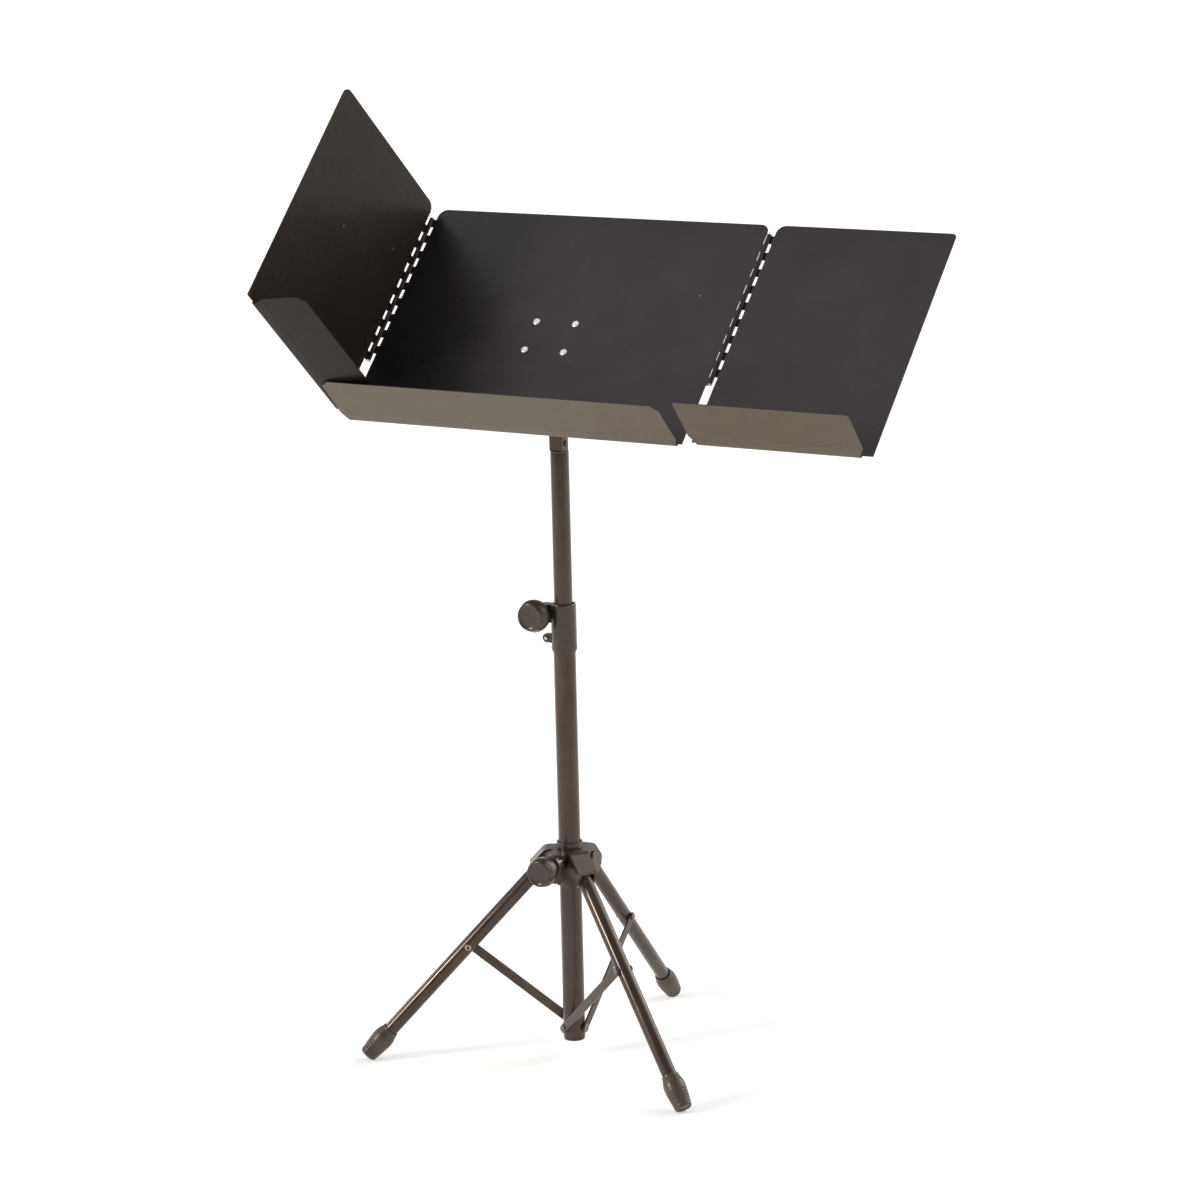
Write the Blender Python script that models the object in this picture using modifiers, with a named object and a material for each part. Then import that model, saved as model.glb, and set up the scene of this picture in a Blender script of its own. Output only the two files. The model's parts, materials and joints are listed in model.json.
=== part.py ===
"""A folding sheet-music stand, modelled as the separate pieces it is assembled from.

A three-panel steel desk tilts on a telescopic mast, and the mast stands on a tripod whose hub slides
on the lower tube. The frame is in metres with +Z up and the floor at z = 0. The desk faces -Y, and its
left wing is swung forward on its hinge. The origin is the middle of the overall box, on the floor.
"""

from math import atan2, cos, hypot, radians, sin, tan

import bmesh
import bpy
from mathutils import Matrix, Vector

MM = 0.001
GAP = 0.3 * MM                      # left between pieces that touch or turn on each other
POLE_AT = Vector((-0.09965, 0.00552, 0.0))   # the mast's axis on the floor

# Desk: x across, y backwards from the tilt bolt, z up the slope from the tilt bolt.
SHEET = 1.0 * MM
DESK_LEAN = radians(44.5)           # from upright
BOLT_HEIGHT = 782 * MM
PANEL_AHEAD = 22 * MM               # the desk's front face is this far in front of the tilt bolt
PANEL_BASE = -120 * MM              # the bottom of the desk, measured up the slope from the bolt
PANEL_HEIGHT = 284.7 * MM
HINGE_AT = 210.5 * MM               # each hinge's distance from the middle
HINGE_AHEAD = 1.5 * MM              # the hinge axis lies this far in front of the front face
WING_WIDTH = 211 * MM
LEFT_WING_SWING = radians(87.5)
BEND = 2.5 * MM                     # outer radius of the fold along the bottom
CENTRE_LIP = {"rise": 0.0, "crease": 13 * MM, "depth": 68 * MM, "lift": 1.5 * MM}
WING_LIP = {"rise": 3.5 * MM, "crease": 17 * MM, "depth": 67 * MM, "lift": 5.0 * MM}
CENTRE_LIP_END = 205 * MM
WING_LIP_NEAR = 9 * MM              # the near and far ends of a wing's lip, from the hinge axis
WING_LIP_FAR = 207 * MM
CHAMFER = (9 * MM, 7 * MM)          # free corners of a lip, across and forward
SMALL_CHAMFER = (1.5 * MM, 1.5 * MM)
CORNER = 10 * MM
SMALL_CORNER = 5 * MM

# Hinges: rolled knuckles that take turns along each seam.
KNUCKLES = 18
KNUCKLE_PITCH = 10.75 * MM
KNUCKLE_SPACE = 0.8 * MM
KNUCKLE_TOP = 270.7 * MM            # height of the first knuckle's top up the panel
BARREL_RADIUS = 2.6 * MM
PIN_RADIUS = 1.5 * MM
TAB_REACH = 1.9 * MM                # a tab ends inside its barrel's wall, this far from the axis
SLOT_DEPTH = 5.2 * MM               # the panel's edge behind a neighbour's knuckle
PLAIN_EDGE = 5.0 * MM               # the panel's edge above and below the knuckles

# Rivets that hold the desk on its bracket.
RIVET_ACROSS = 48 * MM
RIVET_UP = 37 * MM
RIVETS_AT = 4.2 * MM                # the rivets' middle, measured up the slope from the bolt
BRACKET = {"width": 76 * MM, "height": 60 * MM, "sheet": 2 * MM, "ear": 10.5 * MM, "eye": 9 * MM}

# Mast and column.
UPPER_RADIUS = 10 * MM
LOWER_RADIUS = 12 * MM
WALL = 1.5 * MM
UPPER_TOP = 674 * MM
UPPER_BOTTOM = 231 * MM
LOWER_TOP = 484 * MM
LOWER_BOTTOM = 21.5 * MM
COLUMN_FOOT = 18.4 * MM
NECK = {"half": 8 * MM, "front": -7.5 * MM, "back": 5.5 * MM, "sheet": 1.8 * MM, "top": 792 * MM}
NECK_RIVET_AT = 685 * MM
BOLT_RADIUS = 3 * MM

# Clutch that holds the upper tube.
CLUTCH_TOP = 510 * MM
CLUTCH_BOTTOM = 457 * MM
CLUTCH_RADIUS = 13.75 * MM
CLAMP_X = -24 * MM                  # the clamp screw's axis, beside the tube
CLAMP_Z = 498 * MM
LUG_X = -21 * MM
LUG_Z = 470 * MM

# Hub and tripod.
HUB_TOP = 237.5 * MM
HUB_ROOF = 233.3 * MM              # the underside of the roof over the legs' ends
HUB_BOTTOM = 197 * MM
FORK_BEND = 27.5 * MM               # where a fork's top turns down along its leg, out from the pole
FORK_REACH = 44 * MM
HUB_RADIUS = 16 * MM
HUB_BORE = 13.3 * MM
HUB_SCREW_Z = 224 * MM
LEG_ANGLES = {"left": 212.2, "right": 332.2, "back": 92.2}   # degrees round the pole from +X
LEG_RADIUS = 8 * MM
LEG_WALL = 1.2 * MM
LEG_ASIDE = 4.3 * MM                # each leg runs this far to one side of the pole's axis
LEG_PIVOT = (24 * MM, 224.1 * MM)   # distance from the pole and height
LEG_PIN_RADIUS = 2.5 * MM
LEG_STUB = 3.5 * MM                 # tube beyond the pivot
CHEEK = 3 * MM
FOOT_END = (228.8 * MM, 5.2 * MM)   # middle of a foot's end face: distance from the pole and height
FOOT_LENGTH = 39 * MM
BRACE_ON_LEG = 132 * MM             # from a leg's pivot down the leg to its brace
BRACE_Z = 32 * MM
BRACE_WIDTH = 10 * MM
BRACE_SHEET = 2 * MM
BRACE_ASIDE = LEG_ASIDE + LEG_RADIUS + GAP + BRACE_SHEET / 2
RIVET_SHANK = 2 * MM

LEG_LENGTH = hypot(FOOT_END[0] - LEG_PIVOT[0], LEG_PIVOT[1] - FOOT_END[1])
LEG_DROP = atan2(LEG_PIVOT[1] - FOOT_END[1], FOOT_END[0] - LEG_PIVOT[0])
BRACE_END = (LEG_PIVOT[0] + BRACE_ON_LEG * cos(LEG_DROP), LEG_PIVOT[1] - BRACE_ON_LEG * sin(LEG_DROP))
BRACE_LENGTH = hypot(BRACE_END[0], BRACE_END[1] - BRACE_Z)
BRACE_RISE = atan2(BRACE_END[1] - BRACE_Z, BRACE_END[0])

UP = Vector((0, 0, 1))
ROUND = 24                          # sides of a knob, a foot or the hub
TUBE = 16                           # sides of a tube
FINE = 10                           # sides of a pin, a rivet or a knuckle

COLLECTION = bpy.data.collections.new("music_stand")
CUTTERS = bpy.data.collections.new("cutters")


# ---------------------------------------------------------------- materials

def material(name, colour, roughness, metallic):
    made = bpy.data.materials.get(name)
    if made is None:
        made = bpy.data.materials.new(name)
        made.use_nodes = True
        shader = made.node_tree.nodes["Principled BSDF"]
        shader.inputs["Base Color"].default_value = (*colour, 1)
        shader.inputs["Roughness"].default_value = roughness
        shader.inputs["Metallic"].default_value = metallic
    return made


def panel_paint():
    return material("panel_paint", (0.016, 0.016, 0.021), 0.38, 0.0)


def tube_paint():
    return material("tube_paint", (0.045, 0.038, 0.034), 0.32, 0.0)


def bright_steel():
    return material("bright_steel", (0.72, 0.70, 0.66), 0.25, 1.0)


def knob_plastic():
    return material("knob_plastic", (0.02, 0.02, 0.02), 0.45, 0.0)


def foot_rubber():
    return material("foot_rubber", (0.018, 0.017, 0.017), 0.6, 0.0)


# ---------------------------------------------------------------- shapes

def bmesh_to_mesh(name, work):
    mesh = bpy.data.meshes.new(name)
    work.to_mesh(mesh)
    work.free()
    return mesh


def smoothed(mesh):
    mesh.shade_smooth()
    mesh.set_sharp_from_angle(angle=radians(35))
    return mesh


def realised(item):
    """Turns a modelling object into plain welded mesh data and removes the object."""
    bpy.context.scene.collection.objects.link(item)
    bpy.context.view_layer.update()
    ready = item.evaluated_get(bpy.context.evaluated_depsgraph_get())
    mesh = bpy.data.meshes.new_from_object(ready)
    bpy.data.objects.remove(item, do_unlink=True)
    work = bmesh.new()
    work.from_mesh(mesh)
    bmesh.ops.remove_doubles(work, verts=work.verts, dist=0.00001)
    work.to_mesh(mesh)
    work.free()
    return mesh


def turned(profile, sides=ROUND):
    """A solid turned about Z. The profile runs down its outer side as (radius, height) points, and
    closes on itself when it starts off the axis."""
    ring = profile[0][0] > 0
    count = len(profile)
    edges = [(i, (i + 1) % count) for i in range(count if ring else count - 1)]
    mesh = bpy.data.meshes.new("profile")
    mesh.from_pydata([(radius, 0, height) for radius, height in profile], edges, [])
    item = bpy.data.objects.new("profile", mesh)
    screw = item.modifiers.new("Turn", "SCREW")
    screw.steps = sides
    screw.render_steps = sides
    screw.use_merge_vertices = True
    screw.merge_threshold = 0.00001
    return smoothed(realised(item))


def rod(radius, low, high, sides=FINE):
    """A plain round bar along Z."""
    return turned([(0, high), (radius, high), (radius, low), (0, low)], sides)


def pipe(outer, inner, low, high, sides=TUBE):
    return turned([(outer, high), (outer, low), (inner, low), (inner, high)], sides)


def block(low, high):
    """A box between two opposite corners."""
    low = Vector(low)
    high = Vector(high)
    work = bmesh.new()
    size = Matrix.Diagonal((*(high - low), 1))
    bmesh.ops.create_cube(work, size=1, matrix=Matrix.Translation((low + high) / 2) @ size)
    return bmesh_to_mesh("block", work)


def arc(centre, radius, start, end, steps=6):
    """Points round part of a circle, the angles in degrees."""
    turns = [radians(start + (end - start) * step / steps) for step in range(steps + 1)]
    return [(centre[0] + radius * cos(turn), centre[1] + radius * sin(turn)) for turn in turns]


def plate(outline, low, high):
    """A flat outline in XY, as thick as the span from low to high along Z."""
    curve = bpy.data.curves.new("outline", "CURVE")
    curve.dimensions = "2D"
    curve.fill_mode = "BOTH"
    curve.extrude = (high - low) / 2
    spline = curve.splines.new("POLY")
    spline.points.add(len(outline) - 1)
    for point, (x, y) in zip(spline.points, outline):
        point.co = (x, y, 0, 1)
    spline.use_cyclic_u = True
    mesh = realised(bpy.data.objects.new("outline", curve))
    mesh.transform(Matrix.Translation((0, 0, (low + high) / 2)))
    return mesh


def gathered(meshes):
    """Several separate solids as one mesh."""
    work = bmesh.new()
    for mesh in meshes:
        work.from_mesh(mesh)
    return bmesh_to_mesh("gathered", work)


def moved(mesh, matrix):
    mesh.transform(matrix)
    return mesh


def axes(x, y, z, origin=(0, 0, 0)):
    """A placement whose local axes are the three given directions."""
    turn = Matrix((x, y, z)).transposed().to_4x4()
    return Matrix.Translation(origin) @ turn


def along_x(y=0.0, z=0.0):
    """Lays a Z-built shape along +X."""
    return axes((0, 1, 0), (0, 0, 1), (1, 0, 0), (0, y, z))


def along_y(x=0.0, z=0.0):
    """Lays a Z-built shape along +Y."""
    return axes((0, 0, 1), (1, 0, 0), (0, 1, 0), (x, 0, z))


def towards_front(x=0.0, y=0.0, z=0.0):
    """Lays a Z-built shape along -Y, with its X staying across."""
    return axes((1, 0, 0), (0, 0, 1), (0, -1, 0), (x, y, z))


# ---------------------------------------------------------------- placing and cutting

def empty(name, parent, matrix):
    """A joint's frame: what moves on the joint is a child of it."""
    item = bpy.data.objects.new(name, None)
    item.empty_display_size = 0.02
    COLLECTION.objects.link(item)
    item.parent = parent
    item.matrix_local = matrix
    return item


def piece(name, mesh, look, parent, matrix=Matrix()):
    mesh.name = name
    mesh.materials.clear()
    mesh.materials.append(look)
    item = bpy.data.objects.new(name, mesh)
    COLLECTION.objects.link(item)
    item.parent = parent
    item.matrix_local = matrix
    return item


def change(target, operation, mesh, matrix=Matrix(), parent=None):
    """Joins a shape to a piece or cuts it away, the shape standing in the piece's own parent frame."""
    tool = bpy.data.objects.new(f"{target.name}_{operation.lower()}", mesh)
    CUTTERS.objects.link(tool)
    tool.parent = parent or target.parent
    tool.matrix_local = matrix
    tool.hide_render = True
    tool.display_type = "WIRE"
    step = target.modifiers.new(operation.title(), "BOOLEAN")
    step.operation = operation
    step.solver = "EXACT"
    step.object = tool


def join(target, mesh, matrix=Matrix()):
    change(target, "UNION", mesh, matrix)


def cut(target, mesh, matrix=Matrix(), parent=None):
    change(target, "DIFFERENCE", mesh, matrix, parent)


# ---------------------------------------------------------------- desk panels

def folded_sheet(lip, left, right, front):
    """The bare sheet of a panel: upright, folded forward along the bottom and creased along the lip."""
    back = front + SHEET
    base = PANEL_BASE + lip["rise"]
    line = [(back, PANEL_BASE + PANEL_HEIGHT)]
    line += arc((back - BEND, base + BEND), BEND, 0, -90, 4)
    line += [(front - lip["crease"], base), (front - lip["depth"], base + lip["lift"])]
    work = bmesh.new()
    corners = [work.verts.new((left, y, z)) for y, z in line]
    edges = [work.edges.new(pair) for pair in zip(corners, corners[1:])]
    swept = bmesh.ops.extrude_edge_only(work, edges=edges)["geom"]
    far_side = [item for item in swept if isinstance(item, bmesh.types.BMVert)]
    bmesh.ops.translate(work, verts=far_side, vec=(right - left, 0, 0))
    item = bpy.data.objects.new("sheet", bmesh_to_mesh("sheet", work))
    thick = item.modifiers.new("Thickness", "SOLIDIFY")
    thick.thickness = SHEET
    thick.offset = -1
    thick.use_even_offset = True
    return realised(item)


def comb_outline(axis, inward, own):
    """What a hinge edge loses, in panel coordinates (x, up the slope): a round top corner, plain edges
    and a slot behind each knuckle that belongs to the neighbour. Its own knuckles keep their tabs."""
    top = PANEL_BASE + PANEL_HEIGHT
    beyond = 5 * MM
    line = [(-beyond, top + beyond), (PLAIN_EDGE + CORNER, top + beyond)]
    line += arc((PLAIN_EDGE + CORNER, top - CORNER), CORNER, 90, 180)
    level = PANEL_BASE + KNUCKLE_TOP
    for number in range(KNUCKLES):
        upper = level - number * KNUCKLE_PITCH
        lower = upper - KNUCKLE_PITCH
        if number % 2 == own:
            upper -= KNUCKLE_SPACE / 2
            lower += KNUCKLE_SPACE / 2
            reach = TAB_REACH
        else:
            upper += KNUCKLE_SPACE / 2
            lower -= KNUCKLE_SPACE / 2
            reach = SLOT_DEPTH
        if number == 0:
            line.append((PLAIN_EDGE, upper))
        line += [(reach, upper), (reach, lower)]
    line += [(PLAIN_EDGE, lower), (PLAIN_EDGE, PANEL_BASE - beyond), (-beyond, PANEL_BASE - beyond)]
    return [(axis + inward * across, height) for across, height in line]


def corner_outline(edge, outward, radius):
    """What a round top corner loses at a free edge."""
    top = PANEL_BASE + PANEL_HEIGHT
    beyond = 5 * MM
    line = [(-radius, top + beyond)]
    line += arc((-radius, top - radius), radius, 90, 0)
    line += [(beyond, top - radius), (beyond, top + beyond)]
    return [(edge + outward * across, height) for across, height in line]


def lip_end(lip, front, end, outward, chamfer, relief):
    """What is cut away beyond one end of a lip: the strip in front of the panel, and the fold below it."""
    base = PANEL_BASE + lip["rise"]
    beyond = 20 * MM
    near = 3 * MM
    line = [(beyond, near), (-relief, near), (0, lip["crease"]), (0, lip["depth"] - chamfer[1])]
    clear = lip["depth"] + 5 * MM
    line += [(-chamfer[0], lip["depth"]), (-chamfer[0], clear), (beyond, clear)]
    strip = plate([(end + outward * x, front - y) for x, y in line], base - 5 * MM, base + 20 * MM)
    sides = sorted((end - outward * relief, end + outward * beyond))
    low = (sides[0], front - 3.5 * MM, base - 5 * MM)
    fold = block(low, (sides[1], front + 5 * MM, base + BEND + 1 * MM))
    return strip, fold


def barrels(axis, front, own):
    """One panel's rolled knuckles along a hinge, bored for the pin."""
    made = []
    for number in range(own, KNUCKLES, 2):
        upper = PANEL_BASE + KNUCKLE_TOP - number * KNUCKLE_PITCH - KNUCKLE_SPACE / 2
        lower = upper - KNUCKLE_PITCH + KNUCKLE_SPACE
        shape = pipe(BARREL_RADIUS, PIN_RADIUS + GAP / 2, lower, upper, FINE)
        made.append(moved(shape, Matrix.Translation((axis, front - HINGE_AHEAD, 0))))
    return made


def comb_edge(panel, axis, inward, own, front):
    """Cuts a panel's half of a hinge. own is 0 for the even knuckles, counted from the top."""
    comb = plate(comb_outline(axis, inward, own), -4 * MM, 4 * MM)
    cut(panel, comb, towards_front(y=front + SHEET / 2))


def trim_lip(panel, lip, front, ends):
    """Cuts a lip to length. Each end is (x, outward, chamfer, relief)."""
    shapes = [lip_end(lip, front, *end) for end in ends]
    cut(panel, gathered([strip for strip, fold in shapes]))
    cut(panel, gathered([fold for strip, fold in shapes]))


def rivet_spots():
    across = RIVET_ACROSS / 2
    up = RIVET_UP / 2
    return [(x, RIVETS_AT + z) for z in (up, -up) for x in (-across, across)]


def rivet_holes():
    reach = 15 * MM
    return gathered([moved(rod(RIVET_SHANK + GAP, -reach, reach), towards_front(x, -PANEL_AHEAD, z))
                     for x, z in rivet_spots()])


def centre_panel(desk):
    front = -PANEL_AHEAD
    edge = HINGE_AT - TAB_REACH / 2
    panel = piece("centre_panel", folded_sheet(CENTRE_LIP, -edge, edge, front), panel_paint(), desk)
    comb_edge(panel, -HINGE_AT, 1, 0, front)
    comb_edge(panel, HINGE_AT, -1, 1, front)
    end = CENTRE_LIP_END
    trim_lip(panel, CENTRE_LIP, front, [(-end, -1, CHAMFER, 4 * MM), (end, 1, CHAMFER, 4 * MM)])
    cut(panel, rivet_holes())
    join(panel, gathered(barrels(-HINGE_AT, front, 0) + barrels(HINGE_AT, front, 1)))


def wing(name, hinge, side, own, corner, chamfer):
    """A wing in its hinge's frame, on the side (-1 left, 1 right) that it opens to."""
    front = HINGE_AHEAD
    ends = sorted((side * TAB_REACH / 2, side * WING_WIDTH))
    panel = piece(name, folded_sheet(WING_LIP, *ends, front), panel_paint(), hinge)
    comb_edge(panel, 0, side, own, front)
    free_corner = plate(corner_outline(side * WING_WIDTH, side, corner), -4 * MM, 4 * MM)
    cut(panel, free_corner, towards_front(y=front + SHEET / 2))
    near = (side * WING_LIP_NEAR, -side, SMALL_CHAMFER, 4 * MM)
    far = (side * WING_LIP_FAR, side, chamfer, 8 * MM)
    trim_lip(panel, WING_LIP, front, [near, far])
    join(panel, gathered(barrels(0, front, own)))


def hinge_pin(name, desk, x):
    low = PANEL_BASE + KNUCKLE_TOP - KNUCKLES * KNUCKLE_PITCH + 0.5 * MM
    high = PANEL_BASE + KNUCKLE_TOP - 0.5 * MM
    place = Matrix.Translation((x, -PANEL_AHEAD - HINGE_AHEAD, 0))
    piece(name, rod(PIN_RADIUS, low, high, FINE), bright_steel(), desk, place)


# ---------------------------------------------------------------- desk bracket and tilt joint

def desk_bracket(desk):
    """A plate riveted behind the desk, with an ear on each side of the neck."""
    face = -PANEL_AHEAD + SHEET + GAP
    back = face + BRACKET["sheet"]
    half = BRACKET["width"] / 2
    rise = BRACKET["height"] / 2
    round_off = 8 * MM
    outline = arc((half - round_off, rise - round_off), round_off, 0, 90, 3)
    outline += arc((round_off - half, rise - round_off), round_off, 90, 180, 3)
    outline += arc((round_off - half, round_off - rise), round_off, 180, 270, 3)
    outline += arc((half - round_off, round_off - rise), round_off, 270, 360, 3)
    outline = [(x, z + RIVETS_AT) for x, z in outline]
    flat = moved(plate(outline, -back, -face), towards_front())
    bracket = piece("desk_bracket", flat, bright_steel(), desk)
    eye = BRACKET["eye"]
    ear = arc((0, 0), eye, 90, -90, 8) + [(face + 1 * MM, -1.6 * eye), (face + 1 * MM, 1.6 * eye)]
    for side in (-1, 1):
        spans = sorted((side * BRACKET["ear"], side * (BRACKET["ear"] + BRACKET["sheet"])))
        join(bracket, plate(ear, *spans), along_x())
    cut(bracket, rod(BOLT_RADIUS + GAP, -20 * MM, 20 * MM, FINE), along_x())
    cut(bracket, rivet_holes())


def desk_rivets(desk):
    """Four rivets through the desk and its bracket, their domed heads in front."""
    through = SHEET + BRACKET["sheet"] + 2 * GAP
    head = 4 * MM
    profile = [(0, 2.0 * MM), (0.6 * head, 1.6 * MM), (head, 0.7 * MM), (head, GAP), (RIVET_SHANK, GAP)]
    profile += [(RIVET_SHANK, -through), (3.4 * MM, -through), (3.4 * MM, -through - 1.2 * MM)]
    profile += [(0, -through - 1.2 * MM)]
    for number, (x, z) in enumerate(rivet_spots(), 1):
        place = towards_front(x, -PANEL_AHEAD, z)
        piece(f"desk_rivet_{number}", turned(profile, FINE), bright_steel(), desk, place)


def tilt_neck(mast):
    """A folded channel, open at the back, that carries the tilt bolt."""
    half, front, back, sheet = NECK["half"], NECK["front"], NECK["back"], NECK["sheet"]
    outline = [(-half, back), (-half, front), (half, front), (half, back), (half - sheet, back)]
    outline += [(half - sheet, front + sheet), (sheet - half, front + sheet), (sheet - half, back)]
    bottom = UPPER_TOP + 3 * MM + GAP
    neck = piece("tilt_neck", plate(outline, bottom, NECK["top"]), tube_paint(), mast)
    cut(neck, rod(BOLT_RADIUS + GAP, -20 * MM, 20 * MM, FINE), along_x(z=BOLT_HEIGHT))
    cut(neck, rod(RIVET_SHANK + GAP, -20 * MM, 20 * MM, FINE), along_x(z=NECK_RIVET_AT))


def neck_ferrule(mast):
    """The plug in the top of the upper tube, with a boss that the neck is riveted to."""
    flange = UPPER_TOP + GAP
    seat = UPPER_TOP + 3 * MM
    top = UPPER_TOP + 21 * MM
    boss = -NECK["front"] - NECK["sheet"] - GAP
    spigot = UPPER_RADIUS - WALL - GAP
    profile = [(0, top), (boss, top), (boss, seat), (UPPER_RADIUS, seat), (UPPER_RADIUS, flange)]
    profile += [(spigot, flange), (spigot, UPPER_TOP - 25 * MM), (0, UPPER_TOP - 25 * MM)]
    ferrule = piece("neck_ferrule", turned(profile), knob_plastic(), mast)
    cut(ferrule, rod(RIVET_SHANK + GAP, -20 * MM, 20 * MM, FINE), along_x(z=NECK_RIVET_AT))


def headed_pin(shank, head, half, cap):
    """A pin along Z with a flat head of thickness cap beyond each end of its half length."""
    upper = [(0, half + cap), (head, half + cap), (head, half), (shank, half)]
    return turned(upper + [(radius, -height) for radius, height in reversed(upper)], FINE)


def tilt_hardware(mast):
    neck_rivet = headed_pin(RIVET_SHANK, 3.6 * MM, NECK["half"] + GAP, 1.2 * MM)
    piece("neck_rivet", neck_rivet, bright_steel(), mast, along_x(z=NECK_RIVET_AT))
    inner = NECK["half"] + GAP
    outer = BRACKET["ear"] - GAP
    for name, low, high in (("left_tilt_washer", -outer, -inner), ("right_tilt_washer", inner, outer)):
        washer = pipe(7.5 * MM, BOLT_RADIUS + GAP, low, high)
        piece(name, washer, bright_steel(), mast, along_x(z=BOLT_HEIGHT))
    seat = BRACKET["ear"] + BRACKET["sheet"] + GAP
    end = seat + 11 * MM
    profile = [(0, end), (BOLT_RADIUS, end), (BOLT_RADIUS, -seat), (5.5 * MM, -seat)]
    profile += [(5.5 * MM, -seat - 3 * MM), (0, -seat - 3 * MM)]
    piece("tilt_bolt", turned(profile, FINE), bright_steel(), mast, along_x(z=BOLT_HEIGHT))


def tilt_knob(frame):
    low = BRACKET["ear"] + BRACKET["sheet"] + GAP
    profile = [(0, 16 * MM), (11 * MM, 16 * MM), (13 * MM, 13 * MM), (13 * MM, 7 * MM), (8 * MM, 5 * MM)]
    profile += [(7 * MM, 0), (BOLT_RADIUS + GAP, 0), (BOLT_RADIUS + GAP, 11.5 * MM), (0, 11.5 * MM)]
    profile = [(radius, height + low) for radius, height in profile]
    piece("tilt_knob", turned(profile), knob_plastic(), frame, along_x())


# ---------------------------------------------------------------- mast and column

def upper_tube(mast):
    tube = pipe(UPPER_RADIUS, UPPER_RADIUS - WALL, UPPER_BOTTOM, UPPER_TOP)
    piece("upper_tube", tube, tube_paint(), mast)


def glide_plug(glide):
    """The plug that guides the upper tube's end inside the lower tube."""
    seat = UPPER_BOTTOM - GAP
    guide = LOWER_RADIUS - WALL - GAP
    spigot = UPPER_RADIUS - WALL - GAP
    profile = [(0, seat + 20 * MM), (spigot, seat + 20 * MM), (spigot, seat), (guide, seat)]
    profile += [(guide, seat - 9 * MM), (0, seat - 9 * MM)]
    piece("glide_plug", turned(profile), knob_plastic(), glide)


def lower_tube(pole):
    tube = pipe(LOWER_RADIUS, LOWER_RADIUS - WALL, LOWER_BOTTOM, LOWER_TOP)
    tube = piece("lower_tube", tube, tube_paint(), pole)
    hole = (LEG_PIN_RADIUS + GAP, 5 * MM, 20 * MM)
    cut(tube, gathered([moved(rod(*hole), aside_frame(angle)) for angle in LEG_ANGLES.values()]))


def bottom_cap(pole):
    seat = LOWER_BOTTOM - GAP
    spigot = LOWER_RADIUS - WALL - GAP
    flange = LOWER_RADIUS - 0.3 * MM
    profile = [(0, seat + 5 * MM), (spigot, seat + 5 * MM), (spigot, seat), (flange, seat)]
    profile += [(flange, COLUMN_FOOT + 1 * MM), (flange - 1 * MM, COLUMN_FOOT), (0, COLUMN_FOOT)]
    piece("bottom_cap", turned(profile), knob_plastic(), pole)


# ---------------------------------------------------------------- clutch

def clutch_collar(pole):
    """A split collar on the lower tube's end, with clamp ears and a small lug below them."""
    top, bottom, radius = CLUTCH_TOP, CLUTCH_BOTTOM, CLUTCH_RADIUS
    profile = [(0, top), (radius - 0.8 * MM, top), (radius, top - 1.5 * MM), (radius, bottom + 10 * MM)]
    profile += [(radius + 0.4 * MM, bottom + 4 * MM), (radius - 0.8 * MM, bottom), (0, bottom)]
    collar = piece("clutch_collar", turned(profile), knob_plastic(), pole)
    corner = 6 * MM
    low, high, tip, root = CLAMP_Z - 10 * MM, CLAMP_Z + 10 * MM, CLAMP_X - 7.5 * MM, -10 * MM
    ears = [(root, high)] + arc((tip + corner, high - corner), corner, 90, 180, 4)
    ears += arc((tip + corner, low + corner), corner, 180, 270, 4) + [(root, low)]
    join(collar, plate(ears, -5.5 * MM, 5.5 * MM), towards_front())
    lug = [(root, LUG_Z + 5 * MM)] + arc((LUG_X, LUG_Z), 5 * MM, 90, 270, 8) + [(root, LUG_Z - 5 * MM)]
    join(collar, plate(lug, -2.5 * MM, 2.5 * MM), towards_front())
    cut(collar, rod(LEG_PIN_RADIUS + GAP, -12 * MM, 12 * MM), along_y(CLAMP_X, CLAMP_Z))
    cut(collar, rod(RIVET_SHANK + GAP, -12 * MM, 12 * MM), along_y(LUG_X, LUG_Z))
    cut(collar, block((-40 * MM, -1.3 * MM, LOWER_TOP + 1 * MM), (-5 * MM, 1.3 * MM, top + 5 * MM)))
    cut(collar, rod(LOWER_RADIUS + GAP, bottom - 5 * MM, top + 5 * MM, ROUND))


def clutch_bush(pole):
    """The split sleeve that the collar squeezes onto the upper tube."""
    bush = pipe(LOWER_RADIUS, UPPER_RADIUS + GAP, LOWER_TOP + GAP, CLUTCH_TOP - 1 * MM)
    bush = piece("clutch_bush", bush, knob_plastic(), pole)
    cut(bush, block((-20 * MM, -1 * MM, LOWER_TOP - 5 * MM), (-5 * MM, 1 * MM, CLUTCH_TOP + 5 * MM)))


def clutch_fasteners(pole):
    seat = 5.5 * MM + GAP
    shank = LEG_PIN_RADIUS
    screw = turned([(0, seat + 4 * MM), (4.5 * MM, seat + 4 * MM), (4.5 * MM, seat), (shank, seat),
                    (shank, -23 * MM), (0, -23 * MM)], FINE)
    piece("clutch_screw", screw, bright_steel(), pole, along_y(CLAMP_X, CLAMP_Z))
    pin = turned([(0, 4.5 * MM), (1.4 * MM, 4.5 * MM), (RIVET_SHANK, 4 * MM), (RIVET_SHANK, -4 * MM),
                  (1.4 * MM, -4.5 * MM), (0, -4.5 * MM)], FINE)
    piece("clutch_pin", pin, bright_steel(), pole, along_y(LUG_X, LUG_Z))


def round_knob(bore, seat, neck, waist, shoulder, widest, face):
    """A turned hand knob. Each stage is (radius, distance from the axis that it clamps towards)."""
    profile = [(0, face[1]), (face[0] - 0.6 * MM, face[1]), (face[0], face[1] - 0.6 * MM), widest, shoulder]
    profile += [waist, (neck, seat), (bore, seat), (bore, face[1] - 8 * MM), (0, face[1] - 8 * MM)]
    return turned(profile)


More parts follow.
